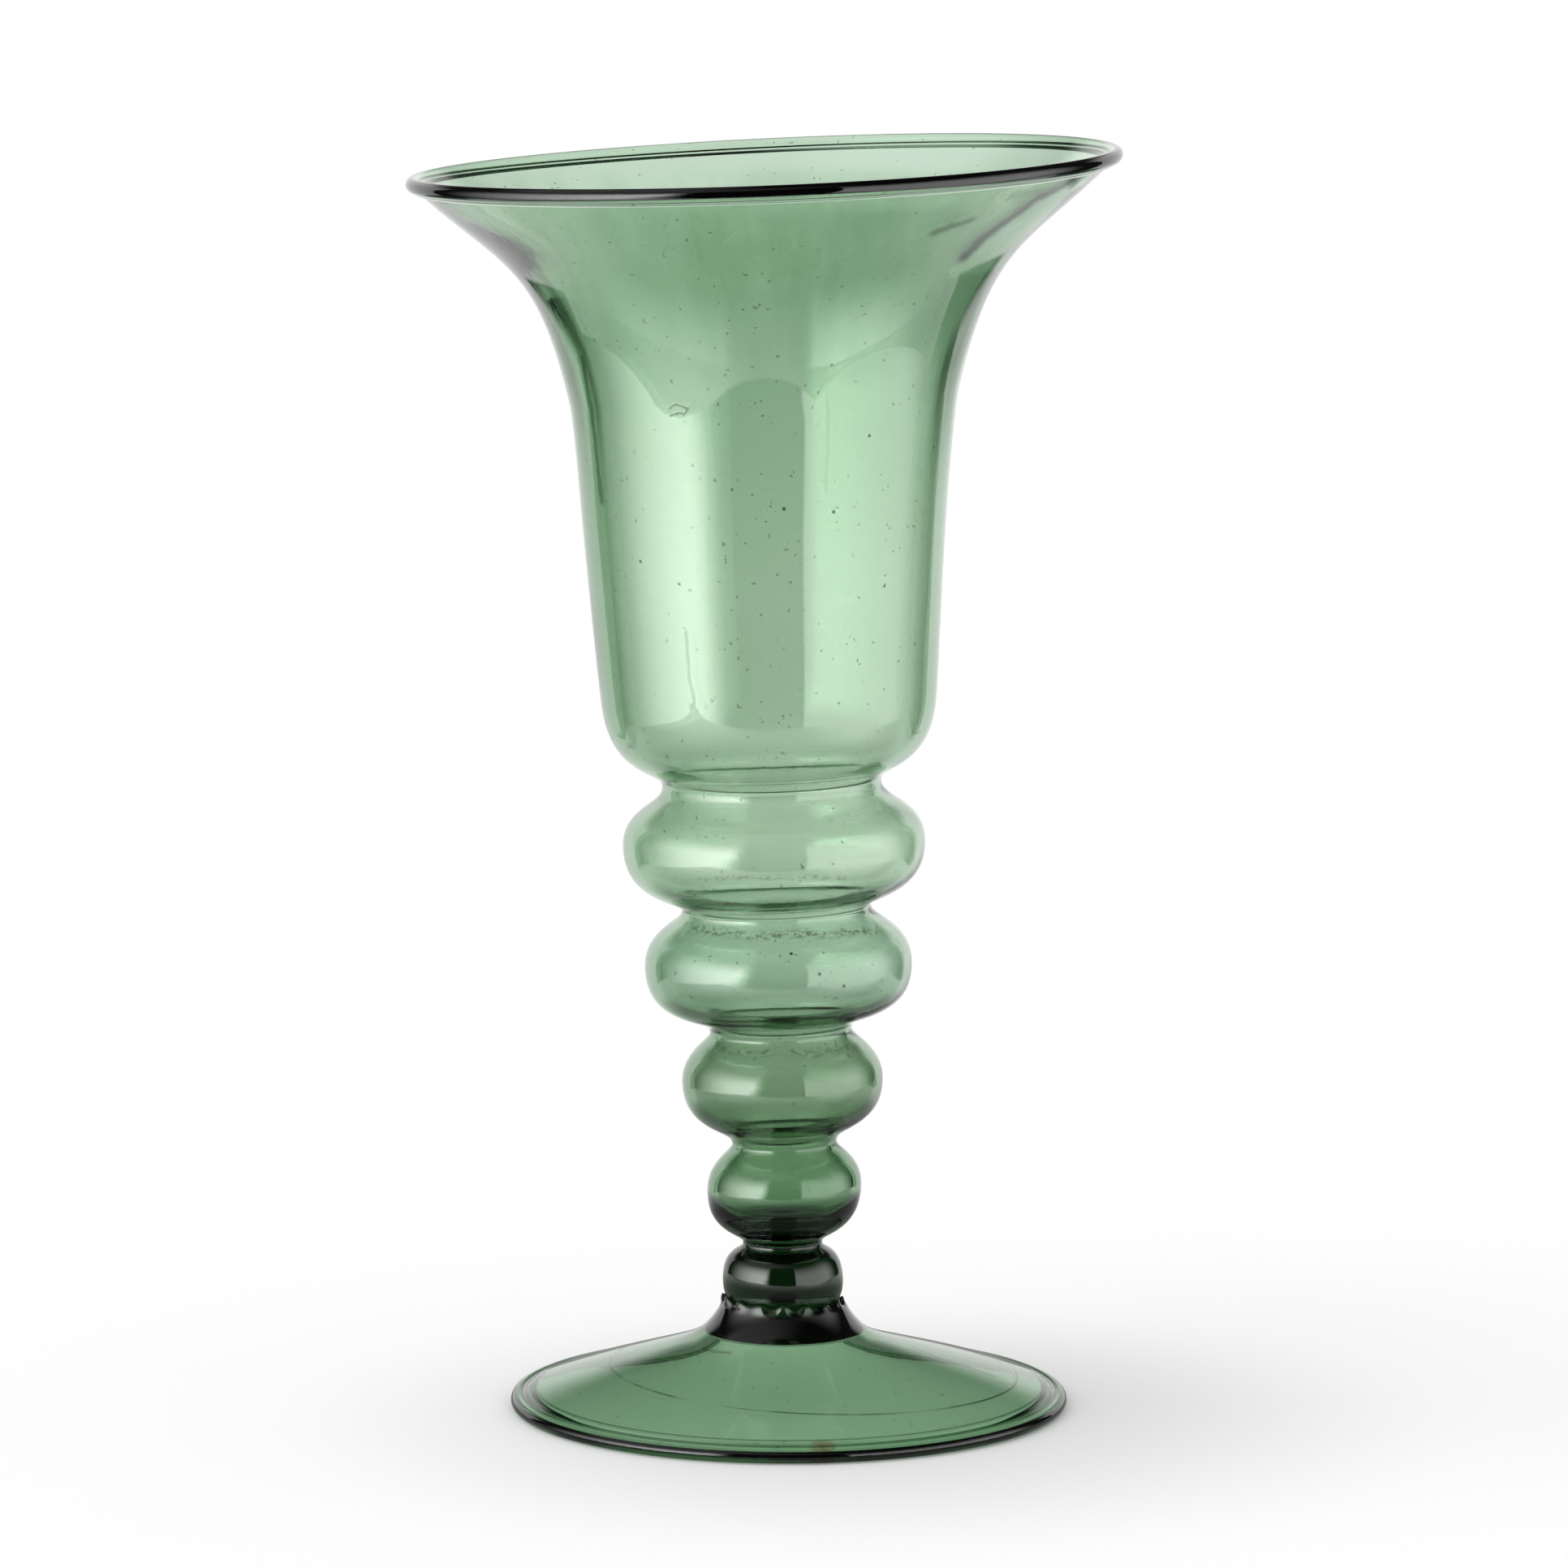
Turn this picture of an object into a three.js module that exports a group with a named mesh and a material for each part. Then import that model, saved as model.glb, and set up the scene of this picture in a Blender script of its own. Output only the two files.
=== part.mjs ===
// A footed flower vase of blown green glass: a flared bowl with a folded lip, five knops that grow
// towards the bowl, and a spreading foot with a crimped collar and a folded edge.
// Millimetres, +Z up. The foot stands on z = 0 and the middle of the lip is over the origin.
// The blown stem leans, so the foot's centre lies a little to the +X side.
import * as THREE from "three";

// Foot
const FOOT_RADIUS = 66.2; // to the outside of the folded edge
const FOOT_BEAD_RADIUS = 1.6; // round of the folded edge
const FOOT_WEAR = 0.1; // depth of the ring that standing has worn flat
const FOOT_EDGE_WIDTH = 3.6; // from the outside to the seam between disc and folded edge
const FOOT_EDGE_DROP = 0.8; // how far the bead's crest lies below the disc's edge
const FOOT_EDGE_SLOPE = 0.27; // rise of the disc per millimetre, at its edge
const FOOT_EDGE_HOLD = 21.7; // how far the disc's outline holds that slope
const FOOT_EDGE_WALL = 2.0; // thickness of the disc at its edge
const FOOT_HEM_WIDTH = 6.0; // from the outside to the inner edge of the fold
const FOOT_HEM_WALL = 1.0; // thickness of the glass folded under
const FOOT_HEM_GAP = 0.3; // thin slit between the disc and the fold

// Collar that joins foot and stem
const COLLAR_BASE_HEIGHT = 18.5; // of the seam between disc and collar, above the table
const COLLAR_BASE_RADIUS = 19.2;
const COLLAR_BASE_SLOPE = 0.9; // rise per millimetre, at that seam
const COLLAR_BASE_HOLD = [5.4, 2.2]; // how far the outline holds that slope, below and above
const COLLAR_WALL = 2.5; // thickness of the foot's glass under the collar
const COLLAR_RISE = 7.2; // from that seam to the middle of the crimped edge
const COLLAR_EDGE_WALL = 0.6; // thickness of the crimped edge
const COLLAR_EDGE_SLOPE = 0.35; // millimetres inwards per millimetre up, at the crimped edge
const COLLAR_EDGE_HOLD = 2.6; // how far the outline runs straight below the crimped edge
const CRIMPS = 16;
const CRIMP_DEPTH = 0.9; // how far the crimped edge waves up and down
const CUP_FLOOR = 4.0; // solid glass under the lowest knop
const CUP_CLEARANCE = 0.3; // between the lowest knop and the wall of the collar's cup

// Knops, from the collar upwards. belly is the height of the widest ring above the knop's base,
// neckWall the thickness of the glass at the neck above, and each pull says how much of its half
// the curve runs straight up: first at the neck, then at the belly.
const KNOP_SEAT_RADIUS = 10.0; // flat base of the lowest knop
const KNOP_5 = {
  height: 16.8,
  belly: 7.6,
  radius: 14.3,
  neck: 9.4,
  lowerPull: [0.25, 0.92],
  upperPull: [0.26, 0.92],
};
const KNOP_4 = {
  height: 24.0,
  belly: 13.1,
  radius: 18.3,
  neck: 12.4,
  neckWall: 3.6,
  lowerPull: [0.19, 0.82],
  upperPull: [0.19, 0.65],
};
const KNOP_3 = {
  height: 26.8,
  belly: 15.0,
  radius: 23.8,
  neck: 16.8,
  neckWall: 2.8,
  lowerPull: [0.27, 0.77],
  upperPull: [0.156, 0.62],
};
const KNOP_2 = {
  height: 29.4,
  belly: 16.0,
  radius: 31.6,
  neck: 22.4,
  neckWall: 2.1,
  lowerPull: [0.33, 0.905],
  upperPull: [0.225, 0.68],
};
const KNOP_1 = {
  height: 29.8,
  belly: 15.5,
  radius: 35.7,
  neck: 25.9,
  neckWall: 1.8,
  lowerPull: [0.21, 0.84],
  upperPull: [0.34, 0.66],
};
const CAVITY_WALL = 4.2; // beside the bottom of the cavity, in the lowest hollow knop
const CAVITY_FLOOR = 5.6; // glass between that knop's base and the bottom of the cavity

// Bowl and lip. Heights are above the neck that the bowl grows from.
const SHOULDER_HEIGHT = 18.7;
const SHOULDER_RADIUS = 39.4;
const SHOULDER_SLOPE = 0.12; // millimetres outwards per millimetre up
const WAIST_HEIGHT = 91.7;
const WAIST_RADIUS = 45.7;
const WAIST_SLOPE = 0.23;
const LIP_HEIGHT = 145.5; // to the middle of the bead
const LIP_RADIUS = 83.7; // to the outside of the bead
const LIP_SLOPE = 0.93;
const LIP_WALL = 1.6;
const LIP_BEAD_RADIUS = 1.45;
const LIP_FOLD_HEIGHT = 4.2; // from the middle of the bead down to the end of the fold
const LIP_HEM_WALL = 0.7; // thickness of the glass folded down outside
// How far the outline holds its direction: up from the neck, on each side of the shoulder and
// of the waist, and below the lip.
const NECK_HOLD = 4.4;
const SHOULDER_HOLD = [16.2, 8.1];
const WAIST_HOLD = [8.3, 34.2];
const LIP_HOLD = 20.0;

// The lean that the glass took on the blowpipe
const LEAN = 5.75; // from the foot's centre to the lip's, towards -X
const LEAN_TOP = 215; // height above which the axis stands upright again
const KNOP_TILT = 0.03; // fall of each knop's rings towards -X, per millimetre of their width
const KNOP_TILT_TOP = 70; // height at which they have it all
const LIP_TILT = 0.041; // the lip's own fall, which its rings have from LEAN_TOP up

const SEGMENTS = 36; // sides of each turned piece
const STEPS_PER_CRIMP = 5;

const point = (r, z) => new THREE.Vector2(r, z);

// A smooth stretch of outline from a to b. Its handles run holdA past a and holdB before b.
function sweep(a, directionA, holdA, b, directionB, holdB) {
  return new THREE.CubicBezierCurve(
    a,
    a.clone().addScaledVector(directionA, holdA),
    b.clone().addScaledVector(directionB, -holdB),
    b,
  );
}

// The two halves of a knop that stands on a ring of radius baseRadius at height base.
function knopCurves(knop, base, baseRadius) {
  const up = point(0, 1);
  const foot = point(baseRadius, base);
  const belly = point(knop.radius, base + knop.belly);
  const neck = point(knop.neck, base + knop.height);
  const lower = knop.belly;
  const upper = knop.height - knop.belly;
  return [
    sweep(foot, up, knop.lowerPull[0] * lower, belly, up, knop.lowerPull[1] * lower),
    sweep(belly, up, knop.upperPull[1] * upper, neck, up, knop.upperPull[0] * upper),
  ];
}

// Points along curves that follow each other, each with the direction out of the glass.
function trace(curves, steps) {
  const samples = [];
  curves.forEach((curve, c) => {
    for (let i = c === 0 ? 0 : 1; i <= steps[c]; i++) {
      const tangent = curve.getTangent(i / steps[c]);
      samples.push({ at: curve.getPoint(i / steps[c]), out: point(tangent.y, -tangent.x) });
    }
  });
  return samples;
}

// The traced outline, moved outwards by distance(z).
function offset(samples, distance) {
  return samples.map(({ at, out }) => at.clone().addScaledVector(out, distance(at.y)));
}

// Where an outline that climbs steadily crosses a height.
function crossing(outline, z) {
  const i = outline.findIndex((p, k) => k > 0 && p.y >= z);
  const [a, b] = [outline[i - 1], outline[i]];
  return a.clone().lerp(b, (z - a.y) / (b.y - a.y));
}

// The stretch of a climbing outline between two heights. Points nearly on a cut are left out.
function between(outline, low, high) {
  const near = 0.05;
  const inside = outline.filter((p) => p.y > low + near && p.y < high - near);
  return [crossing(outline, low), ...inside, crossing(outline, high)];
}

function arc(centre, radius, from, to, steps) {
  return Array.from({ length: steps + 1 }, (_, i) => {
    const angle = from + ((to - from) * i) / steps;
    return point(centre.x + radius * Math.cos(angle), centre.y + radius * Math.sin(angle));
  });
}

// Heights of the seams, from the table up
const cupFloor = COLLAR_BASE_HEIGHT + CUP_FLOOR;
const neck5 = cupFloor + KNOP_5.height;
const neck4 = neck5 + KNOP_4.height;
const neck3 = neck4 + KNOP_3.height;
const neck2 = neck3 + KNOP_2.height;
const neck1 = neck2 + KNOP_1.height;
const lipCentre = point(LIP_RADIUS - LIP_BEAD_RADIUS, neck1 + LIP_HEIGHT);
const lipSeam = lipCentre.y - LIP_FOLD_HEIGHT;

// Outline of the vessel, from the lowest neck to the lip
const upwards = point(0, 1);
const shoulderDirection = point(SHOULDER_SLOPE, 1);
const waistDirection = point(WAIST_SLOPE, 1);
const lipDirection = point(LIP_SLOPE, 1);
const lipAngle = lipDirection.angle();
const neckRing = point(KNOP_1.neck, neck1);
const shoulder = point(SHOULDER_RADIUS, neck1 + SHOULDER_HEIGHT);
const waist = point(WAIST_RADIUS, neck1 + WAIST_HEIGHT);
const lipOutside = arc(lipCentre, LIP_WALL / 2, lipAngle - Math.PI / 2, 0, 1)[0];
const bowlCurves = [
  sweep(neckRing, upwards, NECK_HOLD, shoulder, shoulderDirection, SHOULDER_HOLD[0]),
  sweep(shoulder, shoulderDirection, SHOULDER_HOLD[1], waist, waistDirection, WAIST_HOLD[0]),
  sweep(waist, waistDirection, WAIST_HOLD[1], lipOutside, lipDirection, LIP_HOLD),
];
const hollowKnops = trace(
  [
    ...knopCurves(KNOP_4, neck5, KNOP_5.neck),
    ...knopCurves(KNOP_3, neck4, KNOP_4.neck),
    ...knopCurves(KNOP_2, neck3, KNOP_3.neck),
    ...knopCurves(KNOP_1, neck2, KNOP_2.neck),
  ],
  [5, 5, 5, 5, 5, 5, 5, 5],
);
const bowlWall = trace(bowlCurves, [7, 4, 9]);

// The wall thins evenly from neck to neck, and from the bowl's neck to the lip.
const wallRings = [
  [neck5 + KNOP_4.belly, CAVITY_WALL],
  [neck4, KNOP_4.neckWall],
  [neck3, KNOP_3.neckWall],
  [neck2, KNOP_2.neckWall],
  [neck1, KNOP_1.neckWall],
  [lipOutside.y, LIP_WALL],
];
function wallAt(z) {
  const i = Math.max(1, wallRings.findIndex(([height]) => height >= z));
  const [low, lowWall] = wallRings[i - 1];
  const [high, highWall] = wallRings[i];
  return THREE.MathUtils.mapLinear(Math.max(z, low), low, high, lowWall, highWall);
}
const vessel = [...hollowKnops, ...bowlWall.slice(1)];
const vesselOutside = offset(vessel, () => 0);
const vesselInside = offset(vessel, (z) => -wallAt(z));

// A hollow section of the vessel between two heights, as a closed outline.
function section(low, high) {
  const outside = between(vesselOutside, low, high);
  const inside = between(vesselInside, low, high);
  return [...outside, ...inside.reverse(), outside[0]];
}

// The knop that closes the vessel: its cavity ends in a rounded bottom.
function closedKnop() {
  const belly = neck5 + KNOP_4.belly;
  const side = crossing(vesselInside, belly);
  const bottom = neck5 + CAVITY_FLOOR;
  const bowlOfCavity = new THREE.EllipseCurve(
    0, belly, side.x, belly - bottom, 0, -Math.PI / 2, true,
  );
  return [
    point(0, neck5),
    ...between(vesselOutside, neck5, neck4),
    ...between(vesselInside, belly, neck4).reverse(),
    ...bowlOfCavity.getPoints(6).slice(1, -1),
    point(0, bottom),
  ];
}

const seatedKnop = offset(
  trace(knopCurves(KNOP_5, cupFloor, KNOP_SEAT_RADIUS), [5, 5]),
  () => 0,
);

function solidKnop() {
  return [point(0, cupFloor), ...seatedKnop, point(0, neck5)];
}

// The lip's wall, the bead that the wall turns in, and the glass folded down outside.
function lipFold() {
  const hem = offset(vessel, () => LIP_HEM_WALL);
  const hemTurn = Math.acos(Math.min(1, (LIP_WALL / 2 + LIP_HEM_WALL) / LIP_BEAD_RADIUS));
  const wallTurn = Math.acos(Math.min(1, LIP_WALL / 2 / LIP_BEAD_RADIUS));
  const quarter = Math.PI / 2;
  const bead = arc(
    lipCentre, LIP_BEAD_RADIUS, lipAngle - quarter - hemTurn, lipAngle + quarter + wallTurn, 10,
  );
  const joinGap = 0.3;
  const inside = between(vesselInside, lipSeam, bead.at(-1).y - joinGap);
  return [
    inside[0],
    crossing(vesselOutside, lipSeam),
    ...between(hem, lipSeam, bead[0].y - joinGap),
    ...bead,
    ...inside.reverse(),
  ];
}

// Outline of the foot's upper side, from the folded edge to the collar's seam and on up it
const discEdge = point(
  FOOT_RADIUS - FOOT_EDGE_WIDTH,
  2 * FOOT_BEAD_RADIUS - FOOT_WEAR + FOOT_EDGE_DROP,
);
const collarBase = point(COLLAR_BASE_RADIUS, COLLAR_BASE_HEIGHT);
const discDirection = point(-1, FOOT_EDGE_SLOPE);
const collarDirection = point(-1, COLLAR_BASE_SLOPE);
const collarTipDirection = point(-COLLAR_EDGE_SLOPE, 1);
const discCurve = sweep(
  discEdge, discDirection, FOOT_EDGE_HOLD, collarBase, collarDirection, COLLAR_BASE_HOLD[0],
);

// The collar's outside, up to an edge at the given height, hugs the lowest knop.
function collarCurve(edge) {
  const tip = point(crossing(seatedKnop, edge).x + CUP_CLEARANCE + COLLAR_EDGE_WALL, edge);
  return sweep(
    collarBase, collarDirection, COLLAR_BASE_HOLD[1], tip, collarTipDirection, COLLAR_EDGE_HOLD,
  );
}

const collarEdge = COLLAR_BASE_HEIGHT + COLLAR_RISE;
const footSide = trace([discCurve, collarCurve(collarEdge)], [9, 6]);
const footOutside = offset(footSide, () => 0);
const footInside = offset(footSide, (z) =>
  -THREE.MathUtils.mapLinear(z, discEdge.y, collarEdge, FOOT_EDGE_WALL, COLLAR_WALL),
);
const discUnderside = footInside[0].y;

function footDisc() {
  const upper = between(footOutside, discEdge.y, COLLAR_BASE_HEIGHT);
  const under = between(footInside, discUnderside, COLLAR_BASE_HEIGHT);
  const seamFoot = point(discEdge.x, discUnderside);
  return [seamFoot, ...upper, ...under.slice(1).reverse(), seamFoot];
}

// The bead that the foot stands on, and the glass folded in under the disc.
function footFold() {
  const beadCentre = point(FOOT_RADIUS - FOOT_BEAD_RADIUS, FOOT_BEAD_RADIUS - FOOT_WEAR);
  const flat = Math.acos((FOOT_BEAD_RADIUS - FOOT_WEAR) / FOOT_BEAD_RADIUS);
  const down = -Math.PI / 2;
  const bead = arc(beadCentre, FOOT_BEAD_RADIUS, down + flat, -down, 8);
  const flatInside = beadCentre.x - FOOT_BEAD_RADIUS * Math.sin(flat);
  const hemEnd = FOOT_RADIUS - FOOT_HEM_WIDTH;
  const slitAt = (r) =>
    discUnderside - FOOT_HEM_GAP + (discEdge.x - r) * FOOT_EDGE_SLOPE;
  const hemMiddle = slitAt(hemEnd) - FOOT_HEM_WALL / 2;
  return [
    point(discEdge.x, discEdge.y),
    point(discEdge.x, slitAt(discEdge.x)),
    point(hemEnd + FOOT_HEM_WALL / 2, slitAt(hemEnd + FOOT_HEM_WALL / 2)),
    point(hemEnd, hemMiddle),
    point(hemEnd + FOOT_HEM_WALL / 2, hemMiddle - FOOT_HEM_WALL / 2),
    point(discEdge.x, slitAt(discEdge.x) - FOOT_HEM_WALL),
    point(flatInside, 0),
    ...bead,
    point(discEdge.x, discEdge.y),
  ];
}

// The collar's outline where its crimped edge stands at the given height.
function collarOutline(edge) {
  const steps = 5;
  const cup = Array.from({ length: steps + 1 }, (_, i) => {
    const z = THREE.MathUtils.lerp(edge, cupFloor, i / steps);
    return point(crossing(seatedKnop, Math.max(z, cupFloor)).x + CUP_CLEARANCE, z);
  });
  return [
    point(0, COLLAR_BASE_HEIGHT),
    ...collarCurve(edge).getPoints(6),
    ...cup,
    point(0, cupFloor),
  ];
}

// How far the axis has leaned at a height: half of it evenly, half eased at both ends.
function leanAt(z) {
  const even = THREE.MathUtils.mapLinear(z, COLLAR_BASE_HEIGHT, LEAN_TOP, 0, 1);
  const eased = THREE.MathUtils.smoothstep(z, COLLAR_BASE_HEIGHT, LEAN_TOP);
  return (LEAN * (THREE.MathUtils.clamp(even, 0, 1) + eased)) / 2;
}

function tiltAt(z) {
  const knops = KNOP_TILT * THREE.MathUtils.smoothstep(z, COLLAR_BASE_HEIGHT, KNOP_TILT_TOP);
  return knops + (LIP_TILT - KNOP_TILT) * THREE.MathUtils.smoothstep(z, neck1, LEAN_TOP);
}

// Moves each ring of an upright piece to its place on the leaning axis, and tilts it there.
function settle(geometry) {
  const position = geometry.getAttribute("position");
  for (let i = 0; i < position.count; i++) {
    const x = position.getX(i);
    const z = position.getZ(i);
    position.setX(i, x + LEAN - leanAt(z));
    position.setZ(i, z + tiltAt(z) * x);
  }
  geometry.computeVertexNormals();
  return geometry;
}

// An outline turned about the axis, with +Z up.
function turned(outline, segments = SEGMENTS) {
  return new THREE.LatheGeometry(outline, segments).rotateX(Math.PI / 2);
}

// The collar turned about the axis, its edge waving up and down once a crimp.
function crimpedCollar() {
  const segments = CRIMPS * STEPS_PER_CRIMP;
  const count = collarOutline(collarEdge).length;
  const geometry = turned(collarOutline(collarEdge), segments);
  const position = geometry.getAttribute("position");
  for (let s = 0; s <= segments; s++) {
    const turn = (2 * Math.PI * (s % segments)) / segments;
    const edge = collarEdge + CRIMP_DEPTH * Math.cos(CRIMPS * turn);
    collarOutline(edge).forEach((p, i) => {
      position.setXYZ(s * count + i, p.x * Math.sin(turn), -p.x * Math.cos(turn), p.y);
    });
  }
  return geometry;
}

// Glass of one melt: the thicker the piece, the darker it looks.
function glass(colour, opacity) {
  return new THREE.MeshStandardMaterial({
    color: colour, roughness: 0.04, metalness: 0, transparent: true, opacity,
  });
}

const vase = new THREE.Group();
function add(name, geometry, material) {
  const mesh = new THREE.Mesh(settle(geometry), material);
  mesh.name = name;
  vase.add(mesh);
}

add("foot_fold", turned(footFold()), glass(0x2f6b3c, 0.75));
add("foot", turned(footDisc()), glass(0x6f9f78, 0.6));
add("foot_collar", crimpedCollar(), glass(0x14301c, 0.9));
add("knop_5", turned(solidKnop()), glass(0x12331f, 0.9));
add("knop_4", turned(closedKnop()), glass(0x3f7a4b, 0.75));
add("knop_3", turned(section(neck4, neck3)), glass(0x5f9669, 0.65));
add("knop_2", turned(section(neck3, neck2)), glass(0x7daf8c, 0.6));
add("knop_1", turned(section(neck2, neck1)), glass(0x96bea0, 0.5));
add("bowl", turned(section(neck1, lipSeam)), glass(0x8faf94, 0.5));
add("lip_fold", turned(lipFold()), glass(0x27402d, 0.85));

export default vase;
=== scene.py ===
"""The glass vase, dressed for its picture. Metres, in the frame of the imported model.

The vessel (lip, bowl and knops) and the foot (collar, disc and folded edge) are each one closed
skin of glass, as the blown piece is, so that light bends only where it meets air.
"""
import math

import bmesh
import bpy
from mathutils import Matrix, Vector


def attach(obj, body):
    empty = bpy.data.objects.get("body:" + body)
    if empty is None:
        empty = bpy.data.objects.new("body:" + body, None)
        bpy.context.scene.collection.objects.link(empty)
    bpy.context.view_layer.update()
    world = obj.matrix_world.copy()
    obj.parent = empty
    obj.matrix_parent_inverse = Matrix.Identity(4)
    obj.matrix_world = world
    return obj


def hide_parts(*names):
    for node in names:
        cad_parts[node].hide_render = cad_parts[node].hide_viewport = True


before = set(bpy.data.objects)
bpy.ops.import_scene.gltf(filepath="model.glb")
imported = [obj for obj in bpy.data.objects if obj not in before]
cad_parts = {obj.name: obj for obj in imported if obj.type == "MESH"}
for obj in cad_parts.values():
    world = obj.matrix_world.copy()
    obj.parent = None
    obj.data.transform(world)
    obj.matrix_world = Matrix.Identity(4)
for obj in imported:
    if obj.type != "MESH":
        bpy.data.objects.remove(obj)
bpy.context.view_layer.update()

MM = 0.001
SIDES = 192

# Sizes in millimetres, as in the CAD source
FOOT_RADIUS = 66.2
FOOT_BEAD = 1.6
FOOT_WEAR = 0.1
FOOT_EDGE_WIDTH = 3.6
FOOT_EDGE_DROP = 0.5
FOOT_EDGE_SLOPE = 0.34
FOOT_EDGE_HOLD = 23.5
FOOT_EDGE_WALL = 2.0
FOOT_HEM_WIDTH = 6.0
FOOT_HEM_WALL = 1.0
FOOT_HEM_GAP = 0.3
COLLAR_BASE = (19.2, 18.5)
COLLAR_BASE_SLOPE = 0.9
COLLAR_BASE_HOLD = (4.8, 2.2)
COLLAR_WALL = 2.5
COLLAR_RISE = 7.2
COLLAR_EDGE_WALL = 0.6
COLLAR_EDGE_SLOPE = 0.35
COLLAR_EDGE_HOLD = 2.6
LOW_SHIFT = -1.2  # the collar and the lowest knop stand a little left of the foot's middle
LOW_SHIFT_HEIGHTS = (6, 18, 34, 62)
HOLLOW_TOP_DROP = 0.4  # from the collar's base down to the top of the foot's hollow
HOLLOW_DOME_DROP = 1.6  # and down to where the hollow begins to close
CRIMPS = 16
CRIMP_DEPTH = 0.7
CRIMP_REACH = 1.5  # how far below the edge the crimps fade out
CRIMP_UNEVEN = (0.7, 0.3, 5, 1.0)  # share of the depth, its swing, waves, phase
COLLAR_DIP = 0.5  # the collar's edge stands lower by this on the right, and higher on the left
CUP_FLOOR = 22.5
CUP_CLEARANCE = 0.3
KNOP_SEAT = 10.0
# height, belly, radius, neck, lower pull, upper pull
KNOP_5 = (16.8, 7.6, 14.3, 9.4, (0.25, 0.92), (0.26, 0.92))
KNOP_4 = (24.0, 13.1, 18.3, 12.4, (0.19, 0.82), (0.19, 0.65))
KNOP_3 = (26.8, 15.0, 23.8, 16.8, (0.27, 0.77), (0.156, 0.62))
KNOP_2 = (29.4, 16.0, 31.6, 22.4, (0.33, 0.905), (0.225, 0.68))
KNOP_1 = (29.8, 15.5, 35.7, 25.9, (0.21, 0.84), (0.34, 0.66))
CAVITY_FLOOR = 5.6
CAVITY_SHIFT = 0.5  # the wall is a little thicker on the left
SHOULDER = (39.4, 18.7, 0.12)
WAIST = (45.7, 91.7, 0.23)
LIP_HEIGHT = 145.5
LIP_RADIUS = 83.7
LIP_SLOPE = 1.05
LIP_WALL = 2.3
LIP_BEAD = 1.7
LIP_BEAD_DROP = 0.83  # how far the bead's middle lies under the ring's nominal height
LIP_FOLD_HEIGHT = 3.2
LIP_HEM_WALL = 0.7
NECK_HOLD = 4.4
SHOULDER_HOLD = (16.2, 8.1)
WAIST_HOLD = (8.3, 34.2)
LIP_HOLD = 20.0
LEAN = 5.75
LEAN_TOP = 215.0
KNOP_TILT = 0.03
KNOP_TILT_TOP = 70.0
LIP_TILT = 0.0427
LIP_BACK_TILT = 0.0147  # the lip's back stands higher than its front
LIP_SADDLE = 0.21  # and its right-back and left-front than the other two quarters

# Points along each stretch of outline
KNOP_STEPS = 26
SHOULDER_STEPS = 28
BODY_STEPS = 24
FLARE_STEPS = 48
LIP_BEAD_STEPS = 28
CAVITY_STEPS = 32
DISC_STEPS = 60
COLLAR_STEPS = 14
FOOT_BEAD_STEPS = 22
DOME_STEPS = 10
CUP_STEPS = 10

# Small turns of the outline, in mm
SEAT_RINGS = (0, 3.5, 7, KNOP_SEAT - 0.6)
CAVITY_ROUNDING = (0.6, 0.9)
CAVITY_FLOOR_RING = 0.08  # as a share of the cavity's radius
LIP_SEAM_NOTCH = 0.3  # the wall ends this far below the fold's seam
LIP_SEAM_STEP = (0.45, -0.02)  # share of the hem's wall, and height
LIP_HEM_ENDS = (0.25, 0.2)  # left out of the hem's side at the seam and at the bead
LIP_BEAD_END = 0.25  # left out of the wall's inside under the bead
FOOT_BEAD_OVER = 0.5  # radians by which the foot's bead turns past its top
FOOT_GROOVE = ((0.62, -0.62), (0.25, -0.36))  # outwards and up from the disc's edge
# The hem's rounded end, its run along the disc's underside, and its heel beside the bead
FOOT_HEM_TIP = ((0.02, 0.12), (0.02, 0.2), (0.15, 0.2))
FOOT_HEM_RUN = (1.0, 0.35)
FOOT_HEM_HEEL = (0.5, 0.22)
COLLAR_TIP_RISE = 0.2
CUP_RING = 0.5  # as a share of the seat's radius

# Unevenness of the blown surface: waves round the axis, climb per mm, further climb by seed,
# phase by seed, weight
RIPPLES = [(2, 0.021, 0.0, 1.7, 1.0), (3, -0.034, 0.0, 2.9, 0.7), (5, 0.013, 0.013, 0.6, 0.45)]
RIPPLE_START = (40, 60)
OUTER_RIPPLE = 0.05
INNER_RIPPLE = 0.10
CAVITY_SHIFT_HEIGHTS = (60, 90, 275, 288)
FLARE_WAVE = (0.22, 9, 0.06)  # amount, waves round the axis, climb per mm
FLARE_WAVE_HEIGHTS = (225, 285, 289, 292)
FLARE_WAVE_SIDE = (-0.3, 1)  # from the left, where there is none, to the right

NECK_5 = CUP_FLOOR + KNOP_5[0]
NECK_4 = NECK_5 + KNOP_4[0]
NECK_3 = NECK_4 + KNOP_3[0]
NECK_2 = NECK_3 + KNOP_2[0]
NECK_1 = NECK_2 + KNOP_1[0]
LIP_Z = NECK_1 + LIP_HEIGHT


def smooth(x, low, high):
    t = min(1.0, max(0.0, (x - low) / (high - low)))
    return t * t * (3 - 2 * t)


def within(x, start, full, last, end):
    """1 between full and last, 0 outside start and end."""
    return smooth(x, start, full) * (1 - smooth(x, last, end))


def remap(x, a, b, c, d):
    return c + (d - c) * (x - a) / (b - a)


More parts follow.
